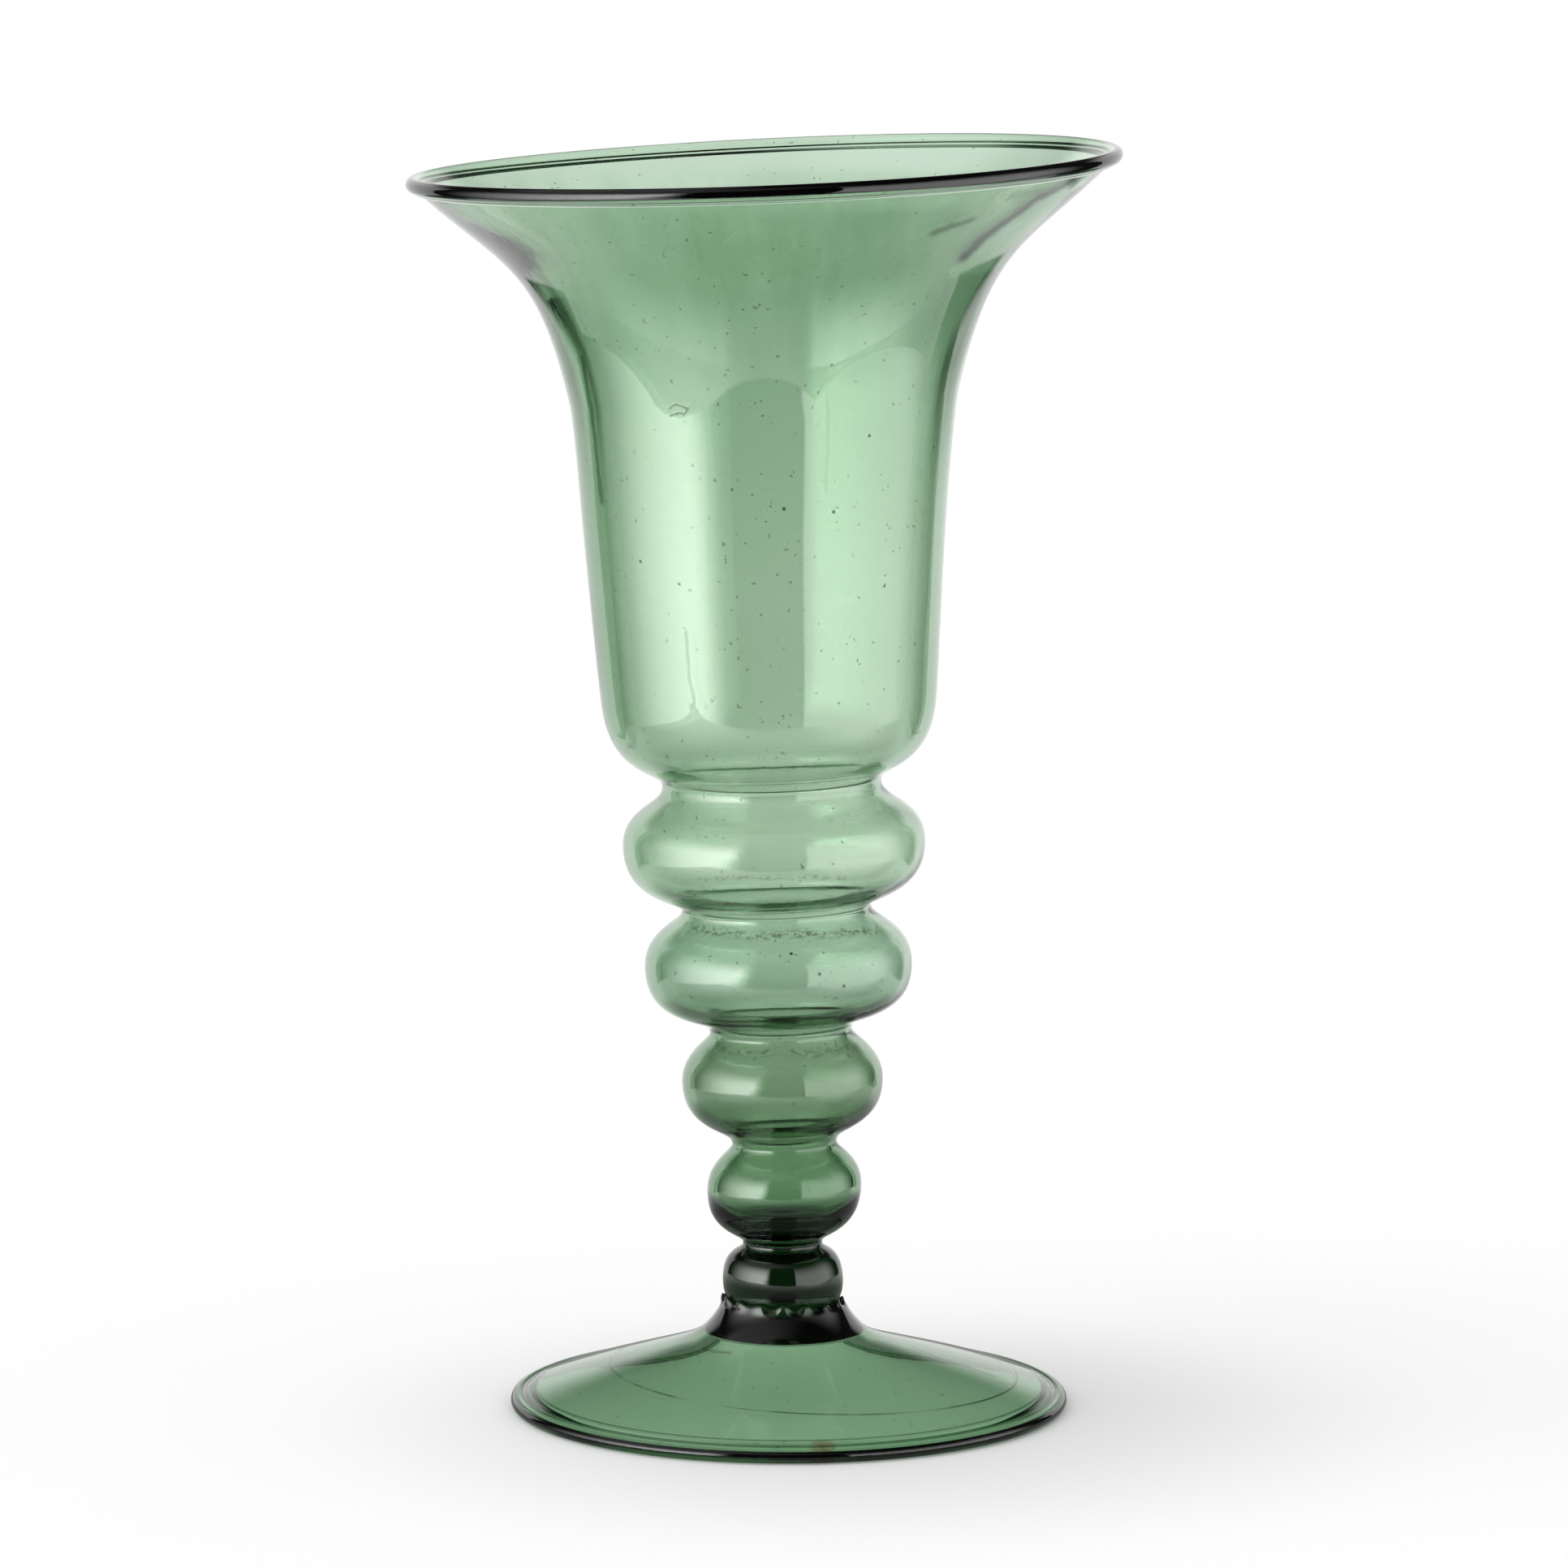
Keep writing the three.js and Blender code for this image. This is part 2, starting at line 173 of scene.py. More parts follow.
def sweep(a, toward_a, hold_a, b, toward_b, hold_b, steps):
    """Points and outward normals along a smooth stretch of outline, with its handles as in the CAD."""
    p = [
        a,
        (a[0] + toward_a[0] * hold_a, a[1] + toward_a[1] * hold_a),
        (b[0] - toward_b[0] * hold_b, b[1] - toward_b[1] * hold_b),
        b,
    ]
    made = []
    for i in range(steps + 1):
        t = i / steps
        w = ((1 - t) ** 3, 3 * t * (1 - t) ** 2, 3 * t * t * (1 - t), t**3)
        d = (-3 * (1 - t) ** 2, 3 * (1 - t) * (1 - 3 * t), 3 * t * (2 - 3 * t), 3 * t * t)
        at = tuple(sum(k * q[c] for k, q in zip(w, p)) for c in (0, 1))
        run = tuple(sum(k * q[c] for k, q in zip(d, p)) for c in (0, 1))
        size = math.hypot(*run) or 1.0
        made.append((at, (run[1] / size, -run[0] / size)))
    return made


def knop(shape, base, base_radius):
    height, belly, radius, neck, lower, upper = shape
    up = (0, 1)
    low, high = belly, height - belly
    middle = (radius, base + belly)
    bottom, top = (base_radius, base), (neck, base + height)
    first = sweep(bottom, up, lower[0] * low, middle, up, lower[1] * low, KNOP_STEPS)
    second = sweep(middle, up, upper[1] * high, top, up, upper[0] * high, KNOP_STEPS)
    return first + second[1:]


def chain(*parts):
    made = list(parts[0])
    for part in parts[1:]:
        made += part[1:]
    return made


def shifted(samples, distance):
    return [
        (at[0] + out[0] * distance(at[1]), at[1] + out[1] * distance(at[1]))
        for at, out in samples
    ]


def crossing(outline, z):
    for a, b in zip(outline, outline[1:]):
        if b[1] >= z >= a[1]:
            t = (z - a[1]) / (b[1] - a[1])
            return (a[0] + (b[0] - a[0]) * t, z)
    return outline[0] if z < outline[0][1] else outline[-1]


def between(outline, low, high, near=0.02):
    inside = [p for p in outline if low + near < p[1] < high - near]
    return [crossing(outline, low), *inside, crossing(outline, high)]


def arc(centre, radius, start, end, steps):
    return [
        (
            centre[0] + radius * math.cos(start + (end - start) * i / steps),
            centre[1] + radius * math.sin(start + (end - start) * i / steps),
        )
        for i in range(steps + 1)
    ]


# Outline of the vessel
seated_knop = knop(KNOP_5, CUP_FLOOR, KNOP_SEAT)
lip_centre = (LIP_RADIUS - LIP_BEAD, LIP_Z - LIP_BEAD_DROP)
lip_angle = math.atan2(1, LIP_SLOPE)
lip_outside = (
    lip_centre[0] + (LIP_WALL - LIP_BEAD) * math.cos(lip_angle - math.pi / 2),
    lip_centre[1] + (LIP_WALL - LIP_BEAD) * math.sin(lip_angle - math.pi / 2),
)
shoulder = (SHOULDER[0], NECK_1 + SHOULDER[1])
waist = (WAIST[0], NECK_1 + WAIST[1])
vessel_side = chain(
    knop(KNOP_4, NECK_5, KNOP_5[3]),
    knop(KNOP_3, NECK_4, KNOP_4[3]),
    knop(KNOP_2, NECK_3, KNOP_3[3]),
    knop(KNOP_1, NECK_2, KNOP_2[3]),
    sweep(
        (KNOP_1[3], NECK_1), (0, 1), NECK_HOLD,
        shoulder, (SHOULDER[2], 1), SHOULDER_HOLD[0], SHOULDER_STEPS,
    ),
    sweep(
        shoulder, (SHOULDER[2], 1), SHOULDER_HOLD[1],
        waist, (WAIST[2], 1), WAIST_HOLD[0], BODY_STEPS,
    ),
    sweep(
        waist, (WAIST[2], 1), WAIST_HOLD[1],
        lip_outside, (LIP_SLOPE, 1), LIP_HOLD, FLARE_STEPS,
    ),
)
# Height and thickness of the wall, which set the dark lines that show beside the outline
wall_rings = [
    (NECK_5 + KNOP_4[1], 2.4),
    (NECK_4, 2.4),
    (NECK_4 + KNOP_3[1], 2.2),
    (NECK_3, 2.2),
    (NECK_3 + KNOP_2[1], 2.0),
    (NECK_2, 2.0),
    (NECK_2 + KNOP_1[1], 2.0),
    (NECK_1, 2.4),
    (NECK_1 + SHOULDER[1], 3.2),
    (196.0, 3.2),
    (218.0, 3.3),
    (245.0, 3.4),
    (262.0, 3.3),
    (276.0, 2.9),
    (lip_outside[1], LIP_WALL),
]


def wall_at(z):
    """Thickness of the wall, in a smooth run through the rings."""
    rings = [wall_rings[0], *wall_rings, wall_rings[-1]]
    z = max(z, wall_rings[0][0])
    for before, low, high, after in zip(rings, rings[1:], rings[2:], rings[3:]):
        if z <= high[0] and high[0] > low[0]:
            span = high[0] - low[0]
            t = (z - low[0]) / span
            start = (high[1] - before[1]) / (high[0] - before[0]) * span
            end = (after[1] - low[1]) / (after[0] - low[0]) * span
            return (
                (2 * t**3 - 3 * t**2 + 1) * low[1]
                + (t**3 - 2 * t**2 + t) * start
                + (3 * t**2 - 2 * t**3) * high[1]
                + (t**3 - t**2) * end
            )
    return wall_rings[-1][1]


def vessel_outline():
    """(r, z, inside) from the middle of the base, up the outside, over the lip and down the inside."""
    outside = shifted(vessel_side, lambda z: 0)
    inside = shifted(vessel_side, lambda z: -wall_at(z))
    hem = shifted(vessel_side, lambda z: LIP_HEM_WALL)
    lip_seam = LIP_Z - LIP_FOLD_HEIGHT
    hem_turn = math.acos(min(1, (LIP_WALL - LIP_BEAD + LIP_HEM_WALL) / LIP_BEAD))
    quarter = math.pi / 2
    bead_start = lip_angle - quarter - hem_turn
    bead = arc(lip_centre, LIP_BEAD, bead_start, lip_angle + quarter, LIP_BEAD_STEPS)
    hem_part = between(hem, lip_seam + LIP_HEM_ENDS[0], bead[0][1] - LIP_HEM_ENDS[1])
    seam = crossing(outside, lip_seam)
    belly = NECK_5 + KNOP_4[1]
    side = crossing(inside, belly)
    bottom = NECK_5 + CAVITY_FLOOR
    across, down = CAVITY_ROUNDING
    cavity = [
        (side[0] * math.cos(a) ** across, belly - (belly - bottom) * math.sin(a) ** down)
        for a in (quarter * i / CAVITY_STEPS for i in range(1, CAVITY_STEPS))
    ]
    seat = [(r, CUP_FLOOR) for r in SEAT_RINGS]
    low_side = [at for at, _ in seated_knop][1:]
    outer = (
        seat
        + low_side
        + between(outside, NECK_5, lip_seam - LIP_SEAM_NOTCH)[1:]
        + [seam, (seam[0] + LIP_SEAM_STEP[0] * LIP_HEM_WALL, lip_seam + LIP_SEAM_STEP[1])]
        + hem_part
        + bead
    )
    inner = (
        between(inside, belly, bead[-1][1] - LIP_BEAD_END)[::-1]
        + cavity
        + [(side[0] * CAVITY_FLOOR_RING, bottom), (0, bottom)]
    )
    return [(r, z, False) for r, z in outer] + [(r, z, True) for r, z in inner]


def foot_curves():
    disc_edge = (FOOT_RADIUS - FOOT_EDGE_WIDTH, 2 * FOOT_BEAD - FOOT_WEAR + FOOT_EDGE_DROP)
    disc = sweep(
        disc_edge, (-1, FOOT_EDGE_SLOPE), FOOT_EDGE_HOLD,
        COLLAR_BASE, (-1, COLLAR_BASE_SLOPE), COLLAR_BASE_HOLD[0], DISC_STEPS,
    )
    return disc_edge, disc


def beside_knop(z):
    """Radius of the seated knop at a height."""
    return crossing([at for at, _ in seated_knop], z)[0]


def collar_side(edge):
    tip = (beside_knop(edge) + CUP_CLEARANCE + COLLAR_EDGE_WALL, edge)
    return sweep(
        COLLAR_BASE, (-1, COLLAR_BASE_SLOPE), COLLAR_BASE_HOLD[1],
        tip, (-COLLAR_EDGE_SLOPE, 1), COLLAR_EDGE_HOLD, COLLAR_STEPS,
    )


def foot_outline(rise):
    """(r, z) of the foot and collar, from the middle of the underside, round the edge, to the cup.

    rise is how far the crimped edge stands above its middle height here.
    """
    disc_edge, disc = foot_curves()
    edge = COLLAR_BASE[1] + COLLAR_RISE
    collar = collar_side(edge)
    whole = disc + collar[1:]
    under = shifted(
        whole, lambda z: -remap(z, disc_edge[1], edge, FOOT_EDGE_WALL, COLLAR_WALL)
    )
    under = [p for p in under if p[1] < COLLAR_BASE[1] - HOLLOW_DOME_DROP]
    top = (0, COLLAR_BASE[1] - HOLLOW_TOP_DROP)
    last = under[-1]
    dome = [
        (last[0] * math.cos(a), last[1] + (top[1] - last[1]) * math.sin(a))
        for a in (math.pi / 2 * i / DOME_STEPS for i in range(1, DOME_STEPS))
    ]
    bead_centre = (FOOT_RADIUS - FOOT_BEAD, FOOT_BEAD - FOOT_WEAR)
    flat = math.acos((FOOT_BEAD - FOOT_WEAR) / FOOT_BEAD)
    down = -math.pi / 2
    bead = arc(bead_centre, FOOT_BEAD, down + flat, -down + FOOT_BEAD_OVER, FOOT_BEAD_STEPS)
    flat_inside = bead_centre[0] - FOOT_BEAD * math.sin(flat)
    hem_end = FOOT_RADIUS - FOOT_HEM_WIDTH
    half = FOOT_HEM_WALL / 2
    inner_under = [p for p in under if p[0] < hem_end]
    hem_top = inner_under[0][1]
    hem_low = hem_top - FOOT_HEM_GAP - FOOT_HEM_WALL
    high_tip, side_tip, low_tip = FOOT_HEM_TIP
    hem = [
        (hem_end + high_tip[0], hem_top - high_tip[1]),
        (hem_end + side_tip[0], hem_low + half + side_tip[1]),
        (hem_end + low_tip[0], hem_low + low_tip[1]),
        (hem_end + half, hem_low),
        (disc_edge[0] - FOOT_HEM_RUN[0], hem_low - FOOT_HEM_RUN[1]),
        (flat_inside - FOOT_HEM_HEEL[0], FOOT_HEM_HEEL[1]),
        (flat_inside, 0),
    ]
    groove = [(disc_edge[0] + out, disc_edge[1] + up) for out, up in FOOT_GROOVE]

    def crimped(at):
        r, z = at
        lift = rise * smooth(z, edge - CRIMP_REACH, edge)
        return (r + beside_knop(z + lift) - beside_knop(z), z + lift)

    cup = [
        crimped((beside_knop(z) + CUP_CLEARANCE, z))
        for z in (edge + (CUP_FLOOR - edge) * i / CUP_STEPS for i in range(CUP_STEPS + 1))
    ]
    tip = crimped(collar[-1][0])
    rim = [(tip[0] - COLLAR_EDGE_WALL / 2, tip[1] + COLLAR_TIP_RISE)]
    outer = [crimped(at) for at, _ in collar][1:]
    return (
        [top]
        + dome[::-1]
        + inner_under[::-1][1:]
        + hem
        + bead[1:]
        + groove
        + [at for at, _ in disc]
        + outer
        + rim
        + cup
        + [(KNOP_SEAT * CUP_RING, CUP_FLOOR), (0, CUP_FLOOR)]
    )


def lean_at(z):
    even = min(1.0, max(0.0, remap(z, COLLAR_BASE[1], LEAN_TOP, 0, 1)))
    return LEAN * (even + smooth(z, COLLAR_BASE[1], LEAN_TOP)) / 2


def tilt_at(z):
    knops = KNOP_TILT * smooth(z, COLLAR_BASE[1], KNOP_TILT_TOP)
    return knops + (LIP_TILT - KNOP_TILT) * smooth(z, NECK_1, LEAN_TOP)


def settled(r, z, turn):
    """A point of an upright ring on the leaning, tilted axis, in metres."""
    x, y = r * math.cos(turn), r * math.sin(turn)
    lip = smooth(z, NECK_1 + WAIST[1], LIP_Z - LIP_FOLD_HEIGHT)
    up = tilt_at(z) * x + lip * (LIP_BACK_TILT * y + LIP_SADDLE * math.sin(2 * turn))
    aside = LOW_SHIFT * within(z, *LOW_SHIFT_HEIGHTS)
    return Vector((x + LEAN - lean_at(z) + aside, y, z + up)) * MM


def lathe(name, outline_at, move):
    """A closed skin turned about the axis. outline_at(turn) runs from axis to axis."""
    bm = bmesh.new()
    poles = {}
    grid = []
    for s in range(SIDES):
        turn = 2 * math.pi * s / SIDES
        places = [move(p, turn) for p in outline_at(turn)]
        column = []
        for i, at in enumerate(places):
            if i in poles:
                column.append(poles[i])
                continue
            vert = bm.verts.new(at)
            if i in (0, len(places) - 1):
                poles[i] = vert
            column.append(vert)
        grid.append(column)
    for a, b in zip(grid, grid[1:] + grid[:1]):
        for i in range(len(a) - 1):
            corners = [a[i], b[i], b[i + 1], a[i + 1]]
            bm.faces.new(list(dict.fromkeys(corners)))
    bmesh.ops.recalc_face_normals(bm, faces=bm.faces)
    mesh = bpy.data.meshes.new(name)
    bm.to_mesh(mesh)
    bm.free()
    for polygon in mesh.polygons:
        polygon.use_smooth = True
    made = bpy.data.objects.new(name, mesh)
    bpy.context.scene.collection.objects.link(made)
    return made


def ripple(z, turn, seed):
    """Slow unevenness of a blown surface, between about -1 and 1."""
    height = sum(
        weight * math.sin(waves * turn + (climb + more * seed) * z + phase * seed)
        for waves, climb, more, phase, weight in RIPPLES
    )
    return height / sum(weight for *_, weight in RIPPLES)


# The pieces

profile = vessel_outline()


def vessel_move(p, turn):
    r, z, inside = p
    if r > 0.01:
        grown = smooth(z, *RIPPLE_START)
        if inside:
            aside = CAVITY_SHIFT * within(z, *CAVITY_SHIFT_HEIGHTS)
            r += aside * math.cos(turn) + grown * INNER_RIPPLE * ripple(z, turn, 1.0)
            amount, waves, climb = FLARE_WAVE
            wave = amount * math.sin(waves * turn + climb * z)
            flare = within(z, *FLARE_WAVE_HEIGHTS)
            r += flare * wave * smooth(math.cos(turn), *FLARE_WAVE_SIDE)
        else:
            r += grown * OUTER_RIPPLE * ripple(z, turn, 0.0)
    return settled(r, z, turn)


vessel = lathe("vessel", lambda turn: profile, vessel_move)


def crimp_rise(turn):
    share, swing, waves, phase = CRIMP_UNEVEN
    uneven = share + swing * math.cos(waves * turn + phase)
    return CRIMP_DEPTH * uneven * math.cos(CRIMPS * turn) - COLLAR_DIP * math.cos(turn)


foot = lathe(
    "foot_and_collar",
    lambda turn: foot_outline(crimp_rise(turn)),
    lambda p, turn: settled(*p, turn),
)


# Materials


class Nodes:
    """Small helper to write node trees as expressions."""

    def __init__(self, tree):
        self.tree = tree
        self.links = tree.links
        self.tree.nodes.clear()

    def new(self, kind, **settings):
        node = self.tree.nodes.new(kind)
        for key, value in settings.items():
            setattr(node, key, value)
        return node

    def put(self, socket, value):
        if isinstance(value, bpy.types.NodeSocket):
            self.links.new(value, socket)
        else:
            socket.default_value = value

    def math(self, operation, *values):
        node = self.new("ShaderNodeMath", operation=operation)
        for socket, value in zip(node.inputs, values):
            self.put(socket, value)
        return node.outputs[0]

    def in_turn(self, operation, first, rest):
        for value in rest:
            first = self.math(operation, first, value)
        return first

    def add(self, first, *rest):
        return self.in_turn("ADD", first, rest)

    def less(self, first, second):
        return self.math("SUBTRACT", first, second)

    def times(self, first, *rest):
        return self.in_turn("MULTIPLY", first, rest)

    def most(self, first, *rest):
        return self.in_turn("MAXIMUM", first, rest)

    def inverse(self, mask):
        return self.less(1.0, mask)

    def step(self, value, low, high, kind="SMOOTHSTEP"):
        """0 up to low, and 1 from high on."""
        node = self.new("ShaderNodeMapRange", interpolation_type=kind)
        self.put(node.inputs["Value"], value)
        self.put(node.inputs["From Min"], low)
        self.put(node.inputs["From Max"], high)
        return node.outputs[0]

    def is_deeper(self, depth):
        """1 where a light path's depth is 1 or more."""
        return self.step(depth, 0.4, 0.6, "LINEAR")

    def window(self, value, start, full, last, end):
        """1 between full and last, 0 outside start and end."""
        return self.times(self.step(value, start, full), self.inverse(self.step(value, last, end)))

    def mix(self, kind, factor, a, b):
        """Between a and b. The kind is FLOAT or RGBA."""
        node = self.new("ShaderNodeMix", data_type=kind)
        for name, value in (("Factor", factor), ("A", a), ("B", b)):
            self.put(node.inputs[name], value)
        return node.outputs["Result"]

    def shade(self, mask, colour, depths):
        """The colour, darkened by the three depths where the mask is 1."""
        node = self.new("ShaderNodeMix", data_type="RGBA", blend_type="MULTIPLY")
        self.put(node.inputs["Factor"], mask)
        self.put(node.inputs["A"], colour)
        node.inputs["B"].default_value = passed(depths)
        return node.outputs["Result"]

    def vector(self, operation, *values):
        node = self.new("ShaderNodeVectorMath", operation=operation)
        for socket, value in zip(node.inputs, values):
            self.put(socket, value)
        return node

    def scaled(self, vector, factor):
        node = self.new("ShaderNodeVectorMath", operation="SCALE")
        self.put(node.inputs[0], vector)
        self.put(node.inputs["Scale"], factor)
        return node.outputs["Vector"]

    def split(self, vector):
        node = self.new("ShaderNodeSeparateXYZ")
        self.put(node.inputs[0], vector)
        return node.outputs

    def distance(self, at, x, y):
        """Distance of a split place from the upright line at x, y."""
        aside = self.math("POWER", self.less(at["X"], x), 2.0)
        ahead = self.math("POWER", self.less(at["Y"], y), 2.0)
        return self.math("SQRT", self.add(aside, ahead))

    def stroke(self, place, points, width, soft):
        """1 along the line through the points, fading out at its sides. Points and widths in mm."""
        nearest = None
        for a, b in zip(points, points[1:] or points):
            start = Vector(a) * MM
            run = Vector(b) * MM - start
            off = self.vector("SUBTRACT", place, start).outputs["Vector"]
            if run.length > 0:
                way = run.normalized()
                along = self.vector("DOT_PRODUCT", off, way).outputs["Value"]
                along = self.math("MINIMUM", self.most(along, 0.0), run.length)
                off = self.vector("SUBTRACT", off, self.scaled(way, along)).outputs["Vector"]
            away = self.vector("LENGTH", off).outputs["Value"]
            nearest = away if nearest is None else self.math("MINIMUM", nearest, away)
        return self.inverse(self.step(nearest, (width - soft) * MM, (width + soft) * MM))

    def strokes(self, place, marks):
        """The strongest of several strokes, each given as points, half width, softness, strength."""
        drawn = [
            self.times(self.stroke(place, points, width, soft), strength)
            for points, width, soft, strength in marks
        ]
        return self.most(*drawn)

    def ragged(self, place, scale, amount):
        """The place, pushed about by noise, so that lines drawn on it waver."""
        node = self.new("ShaderNodeTexNoise")
        self.put(node.inputs["Vector"], place)
        node.inputs["Scale"].default_value = scale
        centred = self.vector("SUBTRACT", node.outputs["Color"], (0.5, 0.5, 0.5)).outputs["Vector"]
        return self.vector("ADD", place, self.scaled(centred, amount * MM)).outputs["Vector"]

    def noise(self, vector, scale, detail=2.0, roughness=0.5):
        node = self.new("ShaderNodeTexNoise")
        self.put(node.inputs["Vector"], vector)
        self.put(node.inputs["Scale"], scale)
        self.put(node.inputs["Detail"], detail)
        self.put(node.inputs["Roughness"], roughness)
        return node.outputs["Fac"]

    def relief(self, vector, scale, detail, amount):
        return self.times(self.noise(vector, scale, detail), amount)

    def stretch(self, vector, scale):
        node = self.new("ShaderNodeMapping")
        self.put(node.inputs["Vector"], vector)
        node.inputs["Scale"].default_value = scale
        return node.outputs["Vector"]


def passed(depths):
    """The colour that is left after the three optical depths."""
    return (*(math.exp(-depth) for depth in depths), 1)


# Red, green and blue lost per metre of glass
VESSEL_ABSORPTION = (129.0, 80.0, 126.0)
FOOT_ABSORPTION = (320.0, 200.0, 312.0)
DENSITY = 400.0
GLASS_IOR = 1.5
BUMP_HEIGHT = 0.001  # metres for a height of 1

# All depths below are red, green and blue, on top of what the glass itself takes away.
DEPTHS_TOP = 300.0
DEPTHS = [  # height in mm, depths
    (36.0, (3.0, 2.3, 2.9)),
    (42.0, (0.80, 0.53, 0.80)),
    (60.0, (0.77, 0.51, 0.78)),
    (78.0, (0.62, 0.465, 0.65)),
    (106.0, (0.35, 0.22, 0.315)),
    (134.0, (0.215, 0.126, 0.215)),
    (168.0, (0.15, 0.10, 0.15)),
    (196.0, (0.15, 0.10, 0.15)),
    (230.0, (0.21, 0.135, 0.21)),
    (256.0, (0.25, 0.15, 0.24)),
    (274.0, (0.22, 0.114, 0.22)),
    (284.0, (0.17, 0.07, 0.16)),
]

# The flare is darkened on the right, in soft strokes that fan out to the lip: painted shade where its
# wall is wavy.
FLARE_HEIGHTS = (240.0, 262.0, 287.0, 291.0)
FLARE_RIGHT = (-0.030, 0.035)  # X in metres
FLARE_SHADE_DEPTHS = (0.17, 0.13, 0.16)
FAN_SQUASH = (1.0, 1.0, 0.22)
FAN_NOISE = (9.0, 3.0)  # scale and detail
FAN_CONTRAST = (0.44, 0.62)
FAN_SHADE_DEPTHS = (0.10, 0.07, 0.10)

# Painted shade: where the glass is seen edge on its colour is darkened, for the dark bands along the
# outlines and the black bead of the lip; at the low knops it also stands for their thick walls. The
# pairs and fours are facings: 0 is seen straight, 1 edge on.
LOW_KNOP_HEIGHTS = (45.0, 135.0)
LOW_KNOP_FACING = (0.30, 0.80)
LOW_KNOP_WALL_AND_SHADE_DEPTHS = (0.62, 0.50, 0.60)
WALL_EDGE_HEIGHTS = (212.0, 250.0, 270.0, 290.0)
WALL_EDGE_FACING = (0.61, 0.70, 0.79, 0.88)
WALL_EDGE_RISE = (250.0, 0.0065)  # above this height the band's facing grows by this much per mm
WALL_EDGE_SHADE_DEPTHS = (2.2, 1.8, 2.2)
BEAD_INSIDE = (0.0810, 0.0818)  # metres from the upright axis
BEAD_FACING = (0.35, 0.65)
BEAD_SHADE_DEPTHS = (2.8, 2.4, 2.7)

# Noise that makes the lines waver: scale, and amount in mm
WAVER = (260.0, 1.6)
FINE_WAVER = (900.0, 0.8)
FOOT_WAVER = (200.0, 2.0)

# Cords are streaks where the wall is wavy, drawn darker: their darkness is painted shade, for the
# light that the wavy wall turns away. Points in mm, half width and softness in mm, depths.
CORD_SHADES = [
    (
        [
            (70, -37, 292.5), (67, -39.3, 291.3), (62.3, -43, 289.3),
            (56, -42.8, 284.7), (50.5, -42.3, 280.6), (46.1, -39.9, 276),
        ],
        2.6, 1.9, (4.4, 3.5, 4.3),
    ),
    ([(38.5, -57.1, 282.4), (42.4, -56.2, 283.8), (46.7, -54.2, 285)], 1.3, 1.2, (2.1, 1.7, 2.1)),
    (
        [
            (-41.8, -25.4, 251.3), (-40.8, -23.1, 244.1), (-39.7, -21.6, 236.5),
            (-38.6, -21.4, 227), (-37.7, -21.4, 218),
        ],
        1.0, 0.5, (1.6, 1.2, 1.6),
    ),
]

# Films and lines, as points, half width and softness in mm, strength
KNOP_FILMS = [
    (
        [
            (-17.5, -13.4, 116.4), (-11.7, -19.5, 116.6), (-4.1, -23.8, 116.5), (0.6, -24.9, 116.5),
            (6.3, -24.1, 117.1), (11, -23.8, 116.7), (16.7, -21.9, 116.4), (24, -15.5, 116.3),
        ],
        1.2, 1.0, 1.0,
    ),
    (
        [
            (-11.8, -9.3, 87.7), (-7, -15.1, 87.5), (-2.2, -17.8, 87.4), (3.5, -18.1, 88.2),
            (11.1, -17.9, 87.4), (18.7, -12.7, 87.5), (21.8, -7.3, 87.7),
        ],
        1.1, 1.0, 0.7,
    ),
]
FINE_FILMS = [
    (
        [
            (-15, -30.7, 130.7), (-7.8, -33.9, 131.8), (1.6, -35.4, 131.8),
            (11, -34.3, 132), (18.6, -31.1, 131),
        ],
        0.4, 0.4, 0.8,
    ),
]
FILM_SQUASH = (1.0, 1.0, 1.7)
FILM_BREAKS = (700.0, 3.0, 0.7)  # scale, detail and roughness of the noise that breaks the films up
FILM_CONTRAST = (0.44, 0.60)
FILM_DEPTHS = (1.5, 1.7, 2.3)
LINES = [
    (
        [
            (-18, -36.8, 189.6), (-17.6, -36.4, 184.3), (-17.3, -36.1, 178.6),
            (-16.5, -36.1, 175.4), (-16.2, -36, 172.8), (-16.9, -35.5, 171.8),
        ],
        0.32, 0.2, 0.6,
    ),
    (
        [
            (-21.6, -40.6, 241.3), (-20.3, -41.5, 242.3), (-19.1, -42, 242), (-17.5, -42.5, 241.4),
            (-18.2, -41.9, 240.1), (-19.5, -41.4, 240.4), (-21.4, -40.3, 239.6),
        ],
        0.28, 0.18, 1.0,
    ),
    ([(-15.1, -21.9, 151.2), (-13.9, -20.6, 148.7)], 0.25, 0.15, 1.0),
]
LINE_DEPTHS = (2.0, 1.7, 2.1)

SEEDS = [
    (24.2, -37.6, 234.7), (4.6, -43.1, 218.4), (16, -40.1, 217.4), (-28.5, -31.1, 205),
    (-19.5, -37, 200.4), (27.8, -31.4, 199.4), (23, -23.7, 125.6), (6.3, -29, 113.1),
    (12.9, -29.9, 108.4), (18.6, -27.6, 105.2),
]
SEED_SIZE = (0.42, 0.15)
SEED_DEPTHS = (4.0, 3.6, 4.0)

# Specks, as scale and detail of their noise, its contrast, and depths
VESSEL_SPECKS = ((620.0, 1.0), (0.74, 0.79), (1.2, 1.1, 1.3))
FOOT_SPECKS = ((480.0, 1.0), (0.72, 0.78), (0.6, 0.55, 0.6))

# Unevenness of the surface, as scale and detail of its noise, and height in mm
VESSEL_SWELL = (22.0, 1.0, 0.12)
STRIAE = (420.0, 2.0, 0.012)
STRIAE_SQUASH = (1.0, 1.0, 0.02)
LINE_RELIEF = 0.06
FOOT_SWELL = (25.0, 1.0, 0.14)
FOOT_GRAIN = (160.0, 2.0, 0.012)
FOOT_GRAIN_SQUASH = (1.0, 0.35, 1.0)
RING_RELIEF = 0.03

FOOT_TINT = (0.99, 1.0, 0.99, 1)
COLLAR_HEIGHTS = (19.0, 20.6)
COLLAR_DEPTHS = (1.6, 1.3, 1.5)
# The disc's upper side, told from its lower side by height in mm + DISC_SLOPE * radius in metres
DISC_SLOPE = 290.0
DISC_TOP = (19.9, 20.3)
